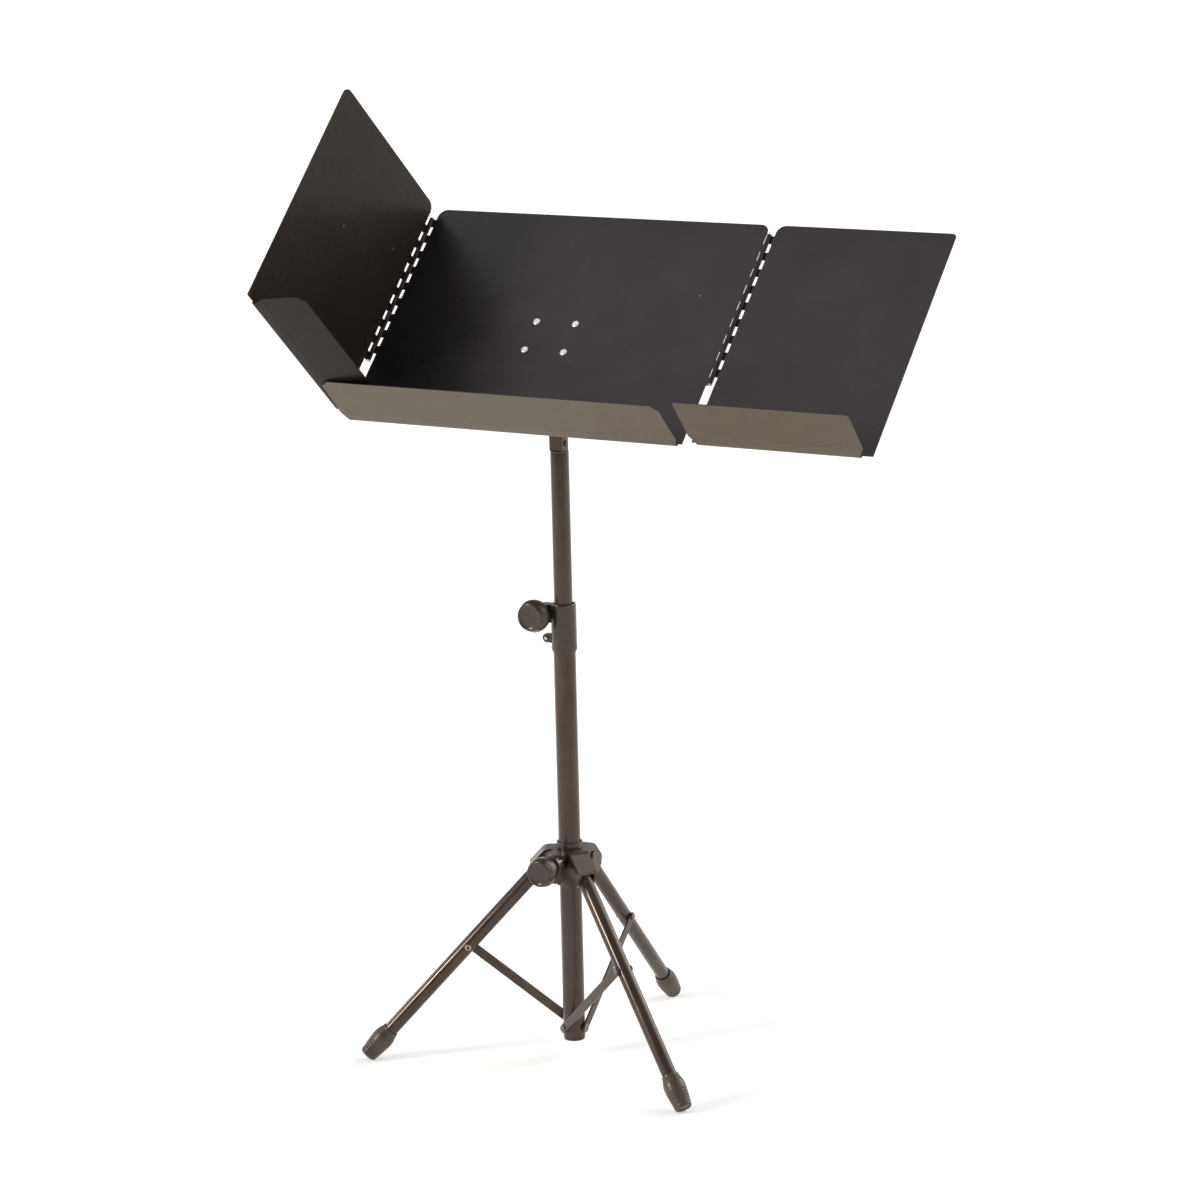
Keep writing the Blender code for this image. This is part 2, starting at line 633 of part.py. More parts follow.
def clutch_knob(frame):
    mesh = round_knob(LEG_PIN_RADIUS + GAP, 5.8 * MM, 8 * MM, (9 * MM, 14.5 * MM), (17 * MM, 16.5 * MM),
                      (18.2 * MM, 24 * MM), (14.8 * MM, 32 * MM))
    piece("clutch_knob", mesh, knob_plastic(), frame, towards_front())


# ---------------------------------------------------------------- hub

def out_frame(angle):
    """X outward from the pole on a leg's line, Y up, Z to the side that the legs are offset to."""
    turn = radians(angle)
    outward = Vector((cos(turn), sin(turn), 0))
    return axes(outward, UP, outward.cross(UP))


def aside_frame(angle, height=BRACE_Z):
    """Z along the side that the legs are offset to, standing on the pole's axis."""
    turn = radians(angle)
    outward = Vector((cos(turn), sin(turn), 0))
    return axes(outward, UP, outward.cross(UP), (0, 0, height))


def fork_outline():
    """A leg's fork seen from its side: it runs level off the hub, slopes down over the leg and ends
    in rounded cheeks."""
    fall = tan(LEG_DROP)
    top, base = HUB_TOP, HUB_BOTTOM + 1 * MM
    end = FORK_REACH - 1 * MM
    line = [(4 * MM, top), (4 * MM, base), (19 * MM, base), (30 * MM, base + 1.2 * MM)]
    line += [(38 * MM, base + 5 * MM), (42.5 * MM, base + 11 * MM), (FORK_REACH, base + 17 * MM)]
    line += [(FORK_REACH, top - (end - FORK_BEND) * fall - 1 * MM), (end, top - (end - FORK_BEND) * fall)]
    turn = 4 * MM
    start, stop = (FORK_BEND + turn, top - turn * fall), (FORK_BEND - turn, top)
    for share in (0, 0.33, 0.67, 1):
        outer, inner = (1 - share) ** 2, share ** 2
        middle = 1 - outer - inner
        across = start[0] * outer + FORK_BEND * middle + stop[0] * inner
        height = start[1] * outer + top * middle + stop[1] * inner
        line.append((across, height))
    return line


def slot_outline():
    """The slot for a leg, seen from its side: its roof follows the fork's."""
    near, far, bend = 15 * MM, 52 * MM, FORK_BEND + 1 * MM
    below = HUB_BOTTOM - 12 * MM
    return [(near, HUB_ROOF), (near, below), (far, below), (far, HUB_ROOF - (far - bend) * tan(LEG_DROP)),
            (bend, HUB_ROOF)]


def hub(frame, lift):
    """The sliding hub: a barrel with a fork for each leg and a boss for the clamp screw. lift takes
    heights above the floor into the hub's own frame."""
    barrel = rod(HUB_RADIUS, HUB_BOTTOM, HUB_TOP, ROUND)
    body = piece("hub", barrel, tube_paint(), frame, lift)
    low, high = LEG_ASIDE - LEG_RADIUS - GAP, LEG_ASIDE + LEG_RADIUS + GAP
    for angle in LEG_ANGLES.values():
        join(body, plate(fork_outline(), low - CHEEK, high + CHEEK), lift @ out_frame(angle))
    boss = [(0, 44 * MM), (13 * MM, 44 * MM), (14 * MM, 43 * MM), (14 * MM, 34 * MM), (12 * MM, 32 * MM),
            (7 * MM, 31 * MM), (7 * MM, 10 * MM), (0, 10 * MM)]
    join(body, turned(boss), lift @ towards_front(z=HUB_SCREW_Z))
    half_bridge, bridge_front = 11 * MM, -34 * MM
    bridge = block((-half_bridge, bridge_front, 230 * MM), (half_bridge, -10 * MM, HUB_TOP))
    join(body, bridge, lift)
    cut(body, rod(BOLT_RADIUS + GAP, 5 * MM, 50 * MM), lift @ towards_front(z=HUB_SCREW_Z))
    slots = [moved(plate(slot_outline(), low, high), out_frame(angle)) for angle in LEG_ANGLES.values()]
    cut(body, gathered(slots), lift)
    bore = (LEG_PIN_RADIUS + GAP, low - 6 * MM, high + 6 * MM)
    at_pivot = Matrix.Translation((*LEG_PIVOT, 0))
    bores = [moved(rod(*bore), out_frame(angle) @ at_pivot) for angle in LEG_ANGLES.values()]
    cut(body, gathered(bores), lift)
    cut(body, rod(HUB_BORE, HUB_BOTTOM - 5 * MM, HUB_TOP + 8 * MM, ROUND), lift)


def hub_bush(frame, lift):
    """The sleeve that runs on the lower tube, with a collar standing on the hub."""
    bore = LOWER_RADIUS + GAP
    sleeve = HUB_BORE - GAP
    collar = 14.15 * MM
    seat = HUB_TOP + GAP
    top = HUB_TOP + 7.5 * MM
    edge = 0.5 * MM
    profile = [(collar - edge, top), (collar, top - edge), (collar, seat), (sleeve, seat)]
    profile += [(sleeve, HUB_BOTTOM + 2 * MM), (bore, HUB_BOTTOM + 2 * MM), (bore, top)]
    piece("hub_bush", turned(profile), knob_plastic(), frame, lift)


def hub_screw(frame, lift):
    screw = rod(BOLT_RADIUS, HUB_BORE + GAP, 58 * MM)
    piece("hub_screw", screw, bright_steel(), frame, lift @ towards_front(z=HUB_SCREW_Z))


def hub_knob(frame):
    mesh = round_knob(BOLT_RADIUS + GAP, 44 * MM + GAP, 11 * MM, (12.5 * MM, 49 * MM), (15.5 * MM, 51 * MM),
                      (16.3 * MM, 60 * MM), (14 * MM, 67 * MM))
    piece("hub_knob", mesh, knob_plastic(), frame, towards_front())


# ---------------------------------------------------------------- legs and braces

def leg_tube(name, frame):
    tube = pipe(LEG_RADIUS, LEG_RADIUS - LEG_WALL, -LEG_STUB, LEG_LENGTH - 9.5 * MM)
    leg = piece(f"{name}_leg", tube, tube_paint(), frame)
    cut(leg, rod(LEG_PIN_RADIUS + GAP, -12 * MM, 12 * MM), along_y())
    cut(leg, rod(RIVET_SHANK + GAP, -12 * MM, 12 * MM), along_y(z=BRACE_ON_LEG))


def foot(name, frame, pole):
    """A barrel-shaped rubber boot on the end of a leg, worn flat where it stands on the floor."""
    end = LEG_LENGTH
    bore = LEG_RADIUS + GAP
    outside = [(9.0, 0), (9.6, 1), (10.6, 9), (11.7, 18), (12.0, 25), (11.4, 31), (9.6, 37), (9.2, 39)]
    profile = [(0, end)] + [(radius * MM, end - down * MM) for radius, down in outside]
    profile += [(bore, end - FOOT_LENGTH), (bore, end - 9.2 * MM), (0, end - 9.2 * MM)]
    boot = piece(f"{name}_foot", turned(profile), foot_rubber(), frame)
    cut(boot, block((-0.4, -0.4, -0.05), (0.4, 0.4, 0)), parent=pole)


def leg_rivet(name, frame):
    """The hollow rivet through a leg, headed on the side away from the brace."""
    head = -LEG_RADIUS - GAP
    profile = [(0, LEG_RADIUS - 0.2 * MM), (RIVET_SHANK, LEG_RADIUS - 0.2 * MM), (RIVET_SHANK, head)]
    profile += [(3.6 * MM, head), (3.8 * MM, head - 0.7 * MM), (2.9 * MM, head - 1.4 * MM)]
    profile += [(1.3 * MM, head - 1.4 * MM), (1.3 * MM, head + 4 * MM), (0, head + 4 * MM)]
    piece(f"{name}_leg_rivet", turned(profile, FINE), bright_steel(), frame, along_y(z=BRACE_ON_LEG))


def leg_pin(name, frame):
    pin = headed_pin(LEG_PIN_RADIUS, 4.5 * MM, LEG_RADIUS + CHEEK + 2 * GAP, 1.5 * MM)
    piece(f"{name}_leg_pin", pin, bright_steel(), frame)


def brace(name, frame):
    """A flat bar with round ends, pierced for a rivet at each end."""
    half = BRACE_WIDTH / 2
    outline = arc((0, 0), half, 90, 270, 8) + arc((BRACE_LENGTH, 0), half, -90, 90, 8)
    lengthwise = axes((0, 0, 1), (1, 0, 0), (0, 1, 0))
    thick = BRACE_SHEET / 2
    bar = piece(f"{name}_brace", moved(plate(outline, -thick, thick), lengthwise), tube_paint(), frame)
    cut(bar, rod(LEG_PIN_RADIUS + GAP, -5 * MM, 5 * MM), along_y())
    cut(bar, rod(RIVET_SHANK + GAP, -5 * MM, 5 * MM), along_y(z=BRACE_LENGTH))


def brace_rivet(name, frame):
    face = BRACE_SHEET / 2
    seat = face + GAP
    head = 3.8 * MM
    profile = [(0, seat + 1.5 * MM), (2.4 * MM, seat + 1.3 * MM), (head, seat + 0.5 * MM), (head, seat)]
    profile += [(RIVET_SHANK, seat), (RIVET_SHANK, -face), (0, -face)]
    piece(f"{name}_brace_rivet", turned(profile, FINE), bright_steel(), frame, along_y(z=BRACE_LENGTH))


def column_rivet(name, pole, angle):
    """The rivet that a brace turns on, headed inside the lower tube and outside the brace."""
    outer = BRACE_ASIDE + BRACE_SHEET / 2 + GAP
    inner = 9.2 * MM
    shank = LEG_PIN_RADIUS
    tail = inner - 1.4 * MM
    profile = [(0, outer + 1.6 * MM), (3 * MM, outer + 1.3 * MM), (4.5 * MM, outer + 0.5 * MM)]
    profile += [(4.5 * MM, outer), (shank, outer), (shank, inner), (4 * MM, inner), (4 * MM, tail), (0, tail)]
    piece(f"{name}_column_rivet", turned(profile, FINE), bright_steel(), pole, aside_frame(angle))


def leg_frame(angle):
    """Z down the leg, Y to its side, standing on the leg's pivot."""
    place = out_frame(angle)
    outward, side = place.col[0].to_3d(), place.col[2].to_3d()
    down = outward * cos(LEG_DROP) - UP * sin(LEG_DROP)
    at = outward * LEG_PIVOT[0] + side * LEG_ASIDE + UP * LEG_PIVOT[1]
    return axes(side.cross(down), side, down, at)


def brace_frame(angle):
    """Z up the brace, Y to its side, standing on the brace's lower pivot."""
    place = out_frame(angle)
    outward, side = place.col[0].to_3d(), place.col[2].to_3d()
    rise = outward * cos(BRACE_RISE) + UP * sin(BRACE_RISE)
    return axes(side.cross(rise), side, rise, side * BRACE_ASIDE + UP * BRACE_Z)


# ---------------------------------------------------------------- assembly

def build_desk(mast):
    lean = Matrix.Translation((0, 0, BOLT_HEIGHT)) @ Matrix.Rotation(-DESK_LEAN, 4, "X")
    desk = empty("desk_tilt", mast, lean)
    centre_panel(desk)
    desk_bracket(desk)
    desk_rivets(desk)
    sides = (("left", -1, LEFT_WING_SWING, CORNER, CHAMFER), ("right", 1, 0, SMALL_CORNER, SMALL_CHAMFER))
    for name, side, swing, corner, chamfer in sides:
        at = Matrix.Translation((side * HINGE_AT, -PANEL_AHEAD - HINGE_AHEAD, 0))
        hinge = empty(f"{name}_wing_hinge", desk, at @ Matrix.Rotation(swing, 4, "Z"))
        wing(f"{name}_wing", hinge, side, 1 if side < 0 else 0, corner, chamfer)
        hinge_pin(f"{name}_hinge_pin", desk, side * HINGE_AT)


def build_mast(pole):
    glide = empty("height_slide", pole, Matrix())
    glide_plug(glide)
    mast = empty("mast_swivel", glide, Matrix())
    upper_tube(mast)
    neck_ferrule(mast)
    tilt_neck(mast)
    tilt_hardware(mast)
    tilt_knob(empty("tilt_knob_turn", mast, Matrix.Translation((0, 0, BOLT_HEIGHT))))
    build_desk(mast)


def build_column(pole):
    lower_tube(pole)
    bottom_cap(pole)
    clutch_collar(pole)
    clutch_bush(pole)
    clutch_fasteners(pole)
    clutch_knob(empty("clutch_knob_turn", pole, Matrix.Translation((CLAMP_X, 0, CLAMP_Z))))


def build_tripod(pole):
    slide = empty("hub_slide", pole, Matrix.Translation((0, 0, HUB_BOTTOM)))
    lift = Matrix.Translation((0, 0, -HUB_BOTTOM))
    hub(slide, lift)
    hub_bush(slide, lift)
    hub_screw(slide, lift)
    hub_knob(empty("hub_knob_turn", slide, lift @ Matrix.Translation((0, 0, HUB_SCREW_Z))))
    for name, angle in LEG_ANGLES.items():
        pivot = empty(f"{name}_leg_pivot", slide, lift @ leg_frame(angle))
        leg_tube(name, pivot)
        foot(name, pivot, pole)
        leg_rivet(name, pivot)
        pin_frame = empty(f"{name}_leg_pin_seat", slide, lift @ leg_frame(angle) @ along_y())
        leg_pin(name, pin_frame)
        column_rivet(name, pole, angle)
        root = empty(f"{name}_brace_pivot", pole, brace_frame(angle))
        brace(name, root)
        brace_rivet(name, root)


def main():
    for item in list(bpy.data.objects):
        bpy.data.objects.remove(item, do_unlink=True)
    bpy.context.scene.collection.children.link(COLLECTION)
    bpy.context.scene.collection.children.link(CUTTERS)
    pole = empty("pole", None, Matrix.Translation(POLE_AT))
    build_column(pole)
    build_tripod(pole)
    build_mast(pole)
    bpy.context.view_layer.update()


main()
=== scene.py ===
"""The looks of a folding sheet-music stand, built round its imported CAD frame.

Everything is in metres in the frame's own coordinates. Turned parts are rebuilt here with fine
profiles in place of the CAD's coarser ones, folded and cut sheet keeps its CAD shape with softened
edges, and every piece gets a procedural finish.
"""

import json
from math import cos, pi, radians, sin

import bmesh
import bpy
from mathutils import Matrix, Vector

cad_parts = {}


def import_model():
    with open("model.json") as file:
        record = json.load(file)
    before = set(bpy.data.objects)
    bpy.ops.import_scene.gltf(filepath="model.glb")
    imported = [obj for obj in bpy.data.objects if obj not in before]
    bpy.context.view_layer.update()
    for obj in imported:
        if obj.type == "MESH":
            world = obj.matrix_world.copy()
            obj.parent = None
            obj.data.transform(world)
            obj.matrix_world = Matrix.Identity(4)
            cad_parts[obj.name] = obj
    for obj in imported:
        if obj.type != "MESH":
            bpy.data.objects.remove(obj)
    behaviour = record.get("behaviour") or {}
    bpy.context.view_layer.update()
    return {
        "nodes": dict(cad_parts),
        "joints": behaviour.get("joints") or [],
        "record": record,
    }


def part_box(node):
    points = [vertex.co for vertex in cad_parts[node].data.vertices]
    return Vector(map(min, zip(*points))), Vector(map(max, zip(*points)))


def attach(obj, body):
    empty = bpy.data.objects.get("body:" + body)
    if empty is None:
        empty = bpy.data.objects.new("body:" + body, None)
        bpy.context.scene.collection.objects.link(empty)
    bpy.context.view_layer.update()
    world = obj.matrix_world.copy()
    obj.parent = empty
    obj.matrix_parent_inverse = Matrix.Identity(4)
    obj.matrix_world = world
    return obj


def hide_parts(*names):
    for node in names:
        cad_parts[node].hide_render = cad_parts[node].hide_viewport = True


MM = 0.001
SIDES = 72                          # sides of a knob, tube, boot or collar
SMALL_SIDES = 36                    # sides of a rivet or pin
SHARP_ABOVE = radians(32)           # an edge of a turned piece that turns by more stays sharp
SOFTEN_ABOVE = radians(38)          # an edge of a CAD piece that turns by more is softened
PANEL_EDGE = 0.25 * MM              # how wide the softened edges are on the panels,
FOLDED_EDGE = 0.6 * MM              # on the hub, the clutch collar, the neck and the bracket,
BRACE_EDGE = 0.5 * MM               # and on the braces
ROUNDING = 1e-7                     # two places closer than this are the same

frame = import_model()
NODES = frame["nodes"]
JOINTS = {joint["name"]: joint for joint in frame["joints"]}
BODY_OF = {node: body for body, nodes in frame["record"]["behaviour"]["bodies"].items() for node in nodes}
SLOT_OF = {part["node"]: part["material_slot"] for part in frame["record"]["subparts"]}
DESK_FACE = next(mount for mount in frame["record"]["mounts"] if mount["name"] == "desk_face")
LEGS = ("left", "right", "back")
UP = Vector((0, 0, 1))
FRONT = Vector((0, -1, 0))
ACROSS = Vector((1, 0, 0))
DESK_OUT = Vector(DESK_FACE["axis"])                        # square out of the desk's face
DESK_UP = Vector(JOINTS["left_wing_hinge"]["axis"])         # up the desk's face
WING_SWING = radians(87.5)                                  # how far forward the left wing stands
HINGE_AHEAD = 1.5 * MM                                      # the hinge line, ahead of the panels' faces
WARM = (1.0, 0.86, 0.74, 1)                                 # the tint of the enamels' sheen
PLUM = (1.0, 0.90, 0.94, 1)                                 # the tint of the sheen on the black panels


# ---------------------------------------------------------------- finishes

def shader_nodes(name):
    """A new material, with its node tree and its Principled shader."""
    made = bpy.data.materials.new(name)
    made.use_nodes = True
    tree = made.node_tree
    return made, tree, tree.nodes["Principled BSDF"]


def wire(tree, source, socket):
    tree.links.new(source, socket)


def noise(tree, scale, detail=3.0, stretch=(1, 1, 1), roughness=0.55):
    """Noise in the piece's own coordinates, in cycles per metre, stretched along chosen axes."""
    place = tree.nodes.new("ShaderNodeTexCoord")
    mapping = tree.nodes.new("ShaderNodeMapping")
    mapping.inputs["Scale"].default_value = stretch
    texture = tree.nodes.new("ShaderNodeTexNoise")
    texture.inputs["Scale"].default_value = scale
    texture.inputs["Detail"].default_value = detail
    texture.inputs["Roughness"].default_value = roughness
    wire(tree, place.outputs["Object"], mapping.inputs["Vector"])
    wire(tree, mapping.outputs["Vector"], texture.inputs["Vector"])
    return texture.outputs["Fac"]


def ramp(tree, source, stops):
    """Colours along a value, as (position, colour) stops."""
    node = tree.nodes.new("ShaderNodeValToRGB")
    elements = node.color_ramp.elements
    while len(elements) < len(stops):
        elements.new(0.5)
    for element, (position, colour) in zip(elements, stops):
        element.position = position
        element.color = (*colour, 1)
    wire(tree, source, node.inputs["Fac"])
    return node.outputs["Color"]


def span(tree, source, low, high, start=0.3, end=0.7):
    """A value that runs from start to end, brought to the range from low to high. Most noise lies
    between 0.3 and 0.7."""
    node = tree.nodes.new("ShaderNodeMapRange")
    for socket, value in (("From Min", start), ("From Max", end), ("To Min", low), ("To Max", high)):
        node.inputs[socket].default_value = value
    wire(tree, source, node.inputs["Value"])
    return node.outputs["Result"]


def reading(tree, output, direction):
    """How far a point, or how much a face's outward normal, goes along a direction."""
    place = tree.nodes.new("ShaderNodeTexCoord")
    node = tree.nodes.new("ShaderNodeVectorMath")
    node.operation = "DOT_PRODUCT"
    node.inputs[1].default_value = direction
    wire(tree, place.outputs[output], node.inputs[0])
    return node.outputs["Value"]


def arithmetic(tree, operation, first, second=None):
    """One value worked on, or two worked together. The second may be a plain number."""
    node = tree.nodes.new("ShaderNodeMath")
    node.operation = operation
    wire(tree, first, node.inputs[0])
    if isinstance(second, float):
        node.inputs[1].default_value = second
    elif second:
        wire(tree, second, node.inputs[1])
    return node.outputs[0]


def blended(tree, amount, under, over):
    """A plain colour laid over another by an amount from 0 to 1."""
    node = tree.nodes.new("ShaderNodeMix")
    node.data_type = "RGBA"
    colours = [socket for socket in node.inputs if socket.type == "RGBA"]
    wire(tree, amount, node.inputs["Factor"])
    wire(tree, under, colours[0])
    colours[1].default_value = (*over, 1)
    return next(socket for socket in node.outputs if socket.type == "RGBA")


def coat(tree, scale, dark, light, detail=4):
    """A coat that drifts between two colours."""
    return ramp(tree, noise(tree, scale, detail), [(0.3, dark), (0.7, light)])


def patched(tree, under, over, share, start, end, **texture):
    """Patches of another colour. They begin where the noise passes start, and from end on they cover
    their share of the coat."""
    return blended(tree, span(tree, noise(tree, **texture), 0, share, start, end), under, over)


def roughened(tree, shader, smooth, rough, **texture):
    """Lets the gloss drift between a smooth and a rough value."""
    wire(tree, span(tree, noise(tree, **texture), smooth, rough), shader.inputs["Roughness"])


def relief(tree, shader, layers):
    """Stacks bumps on the shader. Each layer is (height source, strength, depth in metres)."""
    normal = None
    for height, strength, depth in layers:
        bump = tree.nodes.new("ShaderNodeBump")
        bump.inputs["Strength"].default_value = strength
        bump.inputs["Distance"].default_value = depth
        wire(tree, height, bump.inputs["Height"])
        if normal:
            wire(tree, normal, bump.inputs["Normal"])
        normal = bump.outputs["Normal"]
    wire(tree, normal, shader.inputs["Normal"])


def knocks(tree, per_metre=21, radius=0.014, edge=0.028, share=0.8):
    """A few small pale knocks, far apart, as a mask. The radius and edge are parts of a cell."""
    place = tree.nodes.new("ShaderNodeTexCoord")
    cells = tree.nodes.new("ShaderNodeTexVoronoi")
    cells.inputs["Scale"].default_value = per_metre
    wire(tree, place.outputs["Object"], cells.inputs["Vector"])
    return span(tree, cells.outputs["Distance"], share, 0, radius, edge)


def lighter_low_on_face(tree, share):
    """A mask that covers its share of the desk up to its face's mount and thins out above, for a lighter
    purplish tone there.
    """
    thins_over = 140 * MM
    mount = Vector(DESK_FACE["pos_m"]).dot(DESK_UP)
    above_mount = arithmetic(tree, "SUBTRACT", reading(tree, "Object", DESK_UP), mount)
    by_height = span(tree, above_mount, share, 0, 0.0, thins_over)
    return arithmetic(tree, "MULTIPLY", by_height, span(tree, noise(tree, 16, 4), 0.4, 1.0))


def fold_line(tree, outward, offset):
    """A mask of the thin line where a panel's lip is folded, at an offset along its normal. It places painted
    shade and a groove.
    """
    half_width, edge = 0.2 * MM, 0.7 * MM
    off_fold = arithmetic(tree, "SUBTRACT", reading(tree, "Object", outward), offset)
    return span(tree, arithmetic(tree, "ABSOLUTE", off_fold), 1, 0, half_width, edge)


def panel_enamel(name, outward, hinge, crease, lip_light_and_shade, ground_and_painted_light, low_tint_share, sheen, tint):
    """Stoving enamel on thin sheet, with orange peel, mottling, pale knocks, a lighter purplish tone low on
    the face, and a lip whose underside is painted in lip_light_and_shade, painted floor light on the centre
    and right panels and painted shade on the left wing, with painted shade and a groove along its crease.
    outward is the panel's own normal, crease the distance of the fold from its face, ground_and_painted_light
    the enamel's darkest and lightest colours, painted browner and lighter on the left wing for the reflected
    light on its face, and low_tint_share the share of the lighter tone low on the face."""
    made, tree, shader = shader_nodes(name)
    mottle, low_face_tint, painted_fold_shade = (0.014, 0.011, 0.010), (0.030, 0.024, 0.030), (0.004, 0.003, 0.002)
    specks, scratches, knocked = (0.20, 0.19, 0.17), (0.10, 0.092, 0.085), (0.26, 0.24, 0.21)
    colour = coat(tree, 9, *ground_and_painted_light)
    colour = patched(tree, colour, mottle, 0.6, 0.36, 0.70, scale=230, detail=4, roughness=0.65)
    # A lighter purplish tone low on the face.
    colour = blended(tree, lighter_low_on_face(tree, low_tint_share), colour, low_face_tint)
    colour = patched(tree, colour, specks, 0.10, 0.62, 0.80, scale=700, detail=2)
    colour = patched(tree, colour, scratches, 0.18, 0.71, 0.78, scale=60, detail=6,
                     stretch=(9, 0.5, 1.2), roughness=0.7)
    colour = blended(tree, knocks(tree), colour, knocked)
    # The lip's underside, the faces turned down, takes the lip colour: painted floor light on the centre and
    # right panels, painted shade on the left wing.
    beneath = span(tree, reading(tree, "Normal", -DESK_UP), 0, 1, 0.5, 0.8)
    uneven = span(tree, noise(tree, 45, 5, (1, 3, 3)), 0.80, 1.0)
    colour = blended(tree, arithmetic(tree, "MULTIPLY", beneath, uneven), colour, lip_light_and_shade)
    # A near-black line along the lip's fold is painted shade in the crease. The same mask also cuts a groove.
    face = hinge.dot(outward) - HINGE_AHEAD
    fold = arithmetic(tree, "MULTIPLY", fold_line(tree, outward, face + crease), beneath)
    colour = blended(tree, fold, colour, painted_fold_shade)
    wire(tree, colour, shader.inputs["Base Color"])
    roughened(tree, shader, 0.26, 0.38, scale=90, detail=6, roughness=0.7)
    shader.inputs["Specular Tint"].default_value = tint
    shader.inputs["Specular IOR Level"].default_value = sheen
    groove = arithmetic(tree, "MULTIPLY", fold, -1.0)
    relief(tree, shader, [(noise(tree, 7, 1), 0.25, 1.2 * MM), (groove, 1.0, 0.9 * MM),
                          (noise(tree, 620, 2), 0.30, 0.05 * MM)])
    return made


def panel_looks():
    """Each panel's own finish. The left wing stands square to the others. Its face is painted browner and
    lighter for the reflected light on it, its lip painted dark for shade, and the other lips painted pale for
    floor light."""
    left_out = DESK_OUT * cos(WING_SWING) + ACROSS * sin(WING_SWING)
    left_hinge = Vector(JOINTS["left_wing_hinge"]["pos_m"])
    right_hinge = Vector(JOINTS["right_wing_hinge"]["pos_m"])
    centre_crease, wing_crease = 13 * MM, 17 * MM
    # The pale lip colour is painted light reflected up from the floor. The dark one is painted shade on the
    # left wing's lip.
    painted_floor_light, painted_lip_shade = (0.088, 0.065, 0.036), (0.012, 0.009, 0.006)
    black = (0.0050, 0.0034, 0.0028), (0.0080, 0.0058, 0.0050)
    # The brown ground is the black enamel painted browner and lighter, a painted reflection on the left
    # wing's face.
    brown = (0.0220, 0.0163, 0.0120), (0.0310, 0.0235, 0.0178)
    black_with_painted_floor_light = painted_floor_light, black, 0.8, 0.42, PLUM
    brown_with_painted_light_and_shade = painted_lip_shade, brown, 0.0, 0.11, WARM
    return {
        "centre_panel": panel_enamel("centre_enamel", DESK_OUT, right_hinge, centre_crease, *black_with_painted_floor_light),
        "right_wing": panel_enamel("right_wing_enamel", DESK_OUT, right_hinge, wing_crease, *black_with_painted_floor_light),
        "left_wing": panel_enamel("left_wing_enamel", left_out, left_hinge, wing_crease, *brown_with_painted_light_and_shade),
    }


def tube_enamel():
    """Dark brown enamel on drawn tube and pressed steel, with draw lines and rubbed patches."""
    made, tree, shader = shader_nodes("tube_enamel")
    rubbed, specks = (0.100, 0.074, 0.056), (0.22, 0.20, 0.17)
    colour = coat(tree, 14, (0.030, 0.020, 0.015), (0.046, 0.032, 0.024))
    colour = patched(tree, colour, rubbed, 0.35, 0.50, 0.74, scale=70, detail=3,
                     stretch=(1, 1, 0.12), roughness=0.5)
    colour = patched(tree, colour, specks, 0.12, 0.64, 0.80, scale=900, detail=2)
    wire(tree, colour, shader.inputs["Base Color"])
    roughened(tree, shader, 0.16, 0.27, scale=30, detail=5)
    shader.inputs["Specular Tint"].default_value = WARM
    relief(tree, shader, [(noise(tree, 110, 1, (1, 1, 0.08)), 0.10, 0.05 * MM),
                          (noise(tree, 800, 2), 0.20, 0.02 * MM)])
    return made


def plated(name, dark, light, stain_share, smooth, rough, metal=1.0):
    """Zinc- or nickel-plated steel, dulled and stained in places."""
    made, tree, shader = shader_nodes(name)
    stain = (0.22, 0.18, 0.14)
    colour = coat(tree, 160, dark, light, detail=5)
    colour = patched(tree, colour, stain, stain_share, 0.56, 0.78, scale=420, detail=4)
    wire(tree, colour, shader.inputs["Base Color"])
    roughened(tree, shader, smooth, rough, scale=260, detail=4)
    shader.inputs["Metallic"].default_value = metal
    relief(tree, shader, [(noise(tree, 1500, 2), 0.3, 0.03 * MM)])
    return made


def moulded_plastic():
    """Dark brown moulded nylon with spark-eroded grain and lighter rubbed patches."""
    made, tree, shader = shader_nodes("moulded_plastic")
    rubbed = (0.110, 0.097, 0.083)
    colour = coat(tree, 45, (0.030, 0.024, 0.019), (0.048, 0.039, 0.031))
    colour = patched(tree, colour, rubbed, 0.35, 0.56, 0.74, scale=170, detail=6, roughness=0.7)
    wire(tree, colour, shader.inputs["Base Color"])
    roughened(tree, shader, 0.15, 0.26, scale=90, detail=4)
    shader.inputs["Specular Tint"].default_value = WARM
    relief(tree, shader, [(noise(tree, 1700, 2), 0.40, 0.05 * MM)])
    return made


def boot_rubber():
    """Matt brown-black rubber with a powdery bloom and scuffs."""
    made, tree, shader = shader_nodes("boot_rubber")
    bloom = (0.125, 0.108, 0.092)
    colour = coat(tree, 60, (0.044, 0.035, 0.028), (0.070, 0.056, 0.045))
    colour = patched(tree, colour, bloom, 0.4, 0.54, 0.76, scale=240, detail=6, roughness=0.7)
    wire(tree, colour, shader.inputs["Base Color"])
    roughened(tree, shader, 0.28, 0.44, scale=130, detail=4)
    shader.inputs["Specular Tint"].default_value = WARM
    relief(tree, shader, [(noise(tree, 1300, 3), 0.45, 0.06 * MM)])
    return made


